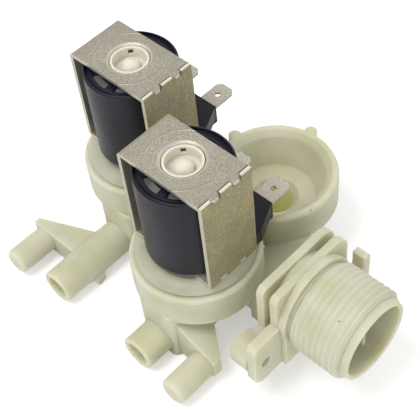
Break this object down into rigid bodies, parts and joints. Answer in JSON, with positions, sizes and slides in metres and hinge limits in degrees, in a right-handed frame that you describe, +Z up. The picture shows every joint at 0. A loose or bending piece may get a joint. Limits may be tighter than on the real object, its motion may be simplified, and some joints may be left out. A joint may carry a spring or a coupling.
{
  "type": "washing machine inlet valve",
  "caption": "Washing machine inlet valve: threaded inlet, two solenoid coils in steel yokes, spare chamber, side outlets and locating pegs on one nylon moulding",
  "frame": {"origin": "on the threaded inlet's axis, where the thread ends and the mouth's lead-in cone begins", "axes": "+X out of the inlet, +Z up along the coils, outlets and pegs point to -Y and the terminals to +Y"},
  "size_m": [0.1089, 0.0831, 0.0635],
  "materials": {
    "body_nylon": "unfilled polyamide, off-white and slightly translucent, fine moulded grain",
    "filter_plastic": "pale polypropylene",
    "insert_plastic": "pale acetal",
    "rubber": "black EPDM, matt",
    "core_steel": "turned magnetic stainless steel",
    "spring_steel": "bright stainless spring wire",
    "yoke_steel": "zinc plated steel sheet with a spangled grey surface",
    "passivated_steel": "zinc plated steel sheet with an uneven yellow passivation",
    "coil_plastic": "blue-black glass-filled polyamide, satin",
    "bobbin_plastic": "grey polyamide",
    "copper_wire": "enamelled copper wire",
    "terminal_metal": "tinned brass strip, satin"
  },
  "bodies": {
    "valve": {"valve_body": "body_nylon", "inlet_filter": "filter_plastic", "flow_regulator_carrier": "filter_plastic", "flow_regulator_washer": "rubber", "front_guide_tube": "body_nylon", "front_diaphragm": "rubber", "front_yoke_frame": "yoke_steel", "front_yoke_side_plate": "passivated_steel", "front_coil_shell": "coil_plastic", "front_coil_bobbin": "bobbin_plastic", "front_coil_winding": "copper_wire", "front_flux_bush": "core_steel", "front_terminal_left": "terminal_metal", "front_terminal_right": "terminal_metal", "rear_guide_tube": "body_nylon", "rear_diaphragm": "rubber", "rear_yoke_frame": "yoke_steel", "rear_yoke_side_plate": "passivated_steel", "rear_coil_shell": "coil_plastic", "rear_coil_bobbin": "bobbin_plastic", "rear_coil_winding": "copper_wire", "rear_flux_bush": "core_steel", "rear_terminal_left": "terminal_metal", "rear_terminal_right": "terminal_metal"},
    "front_plunger_group": {"front_plunger": "core_steel", "front_plunger_seal": "rubber", "front_plunger_spring": "spring_steel"},
    "front_diaphragm_group": {"front_diaphragm_insert": "insert_plastic"},
    "rear_plunger_group": {"rear_plunger": "core_steel", "rear_plunger_seal": "rubber", "rear_plunger_spring": "spring_steel"},
    "rear_diaphragm_group": {"rear_diaphragm_insert": "insert_plastic"}
  },
  "joints": [
    {"name": "front_plunger_slide", "type": "slide", "parent": "valve", "child": "front_plunger_group", "axis": [0, 0, 1], "range_m": [0, 0.0025], "stiffness_N_per_m": 150, "springref_m": -0.004, "deforming": ["front_plunger_spring"]},
    {"name": "front_diaphragm_lift", "type": "slide", "parent": "valve", "child": "front_diaphragm_group", "axis": [0, 0, 1], "range_m": [0, 0.002]},
    {"name": "rear_plunger_slide", "type": "slide", "parent": "valve", "child": "rear_plunger_group", "axis": [0, 0, 1], "range_m": [0, 0.0025], "stiffness_N_per_m": 150, "springref_m": -0.004, "deforming": ["rear_plunger_spring"]},
    {"name": "rear_diaphragm_lift", "type": "slide", "parent": "valve", "child": "rear_diaphragm_group", "axis": [0, 0, 1], "range_m": [0, 0.002]}
  ],
  "couplings": [
    {"joint": "front_diaphragm_lift", "follows": "front_plunger_slide", "ratio": 0.8},
    {"joint": "rear_diaphragm_lift", "follows": "rear_plunger_slide", "ratio": 0.8}
  ]
}
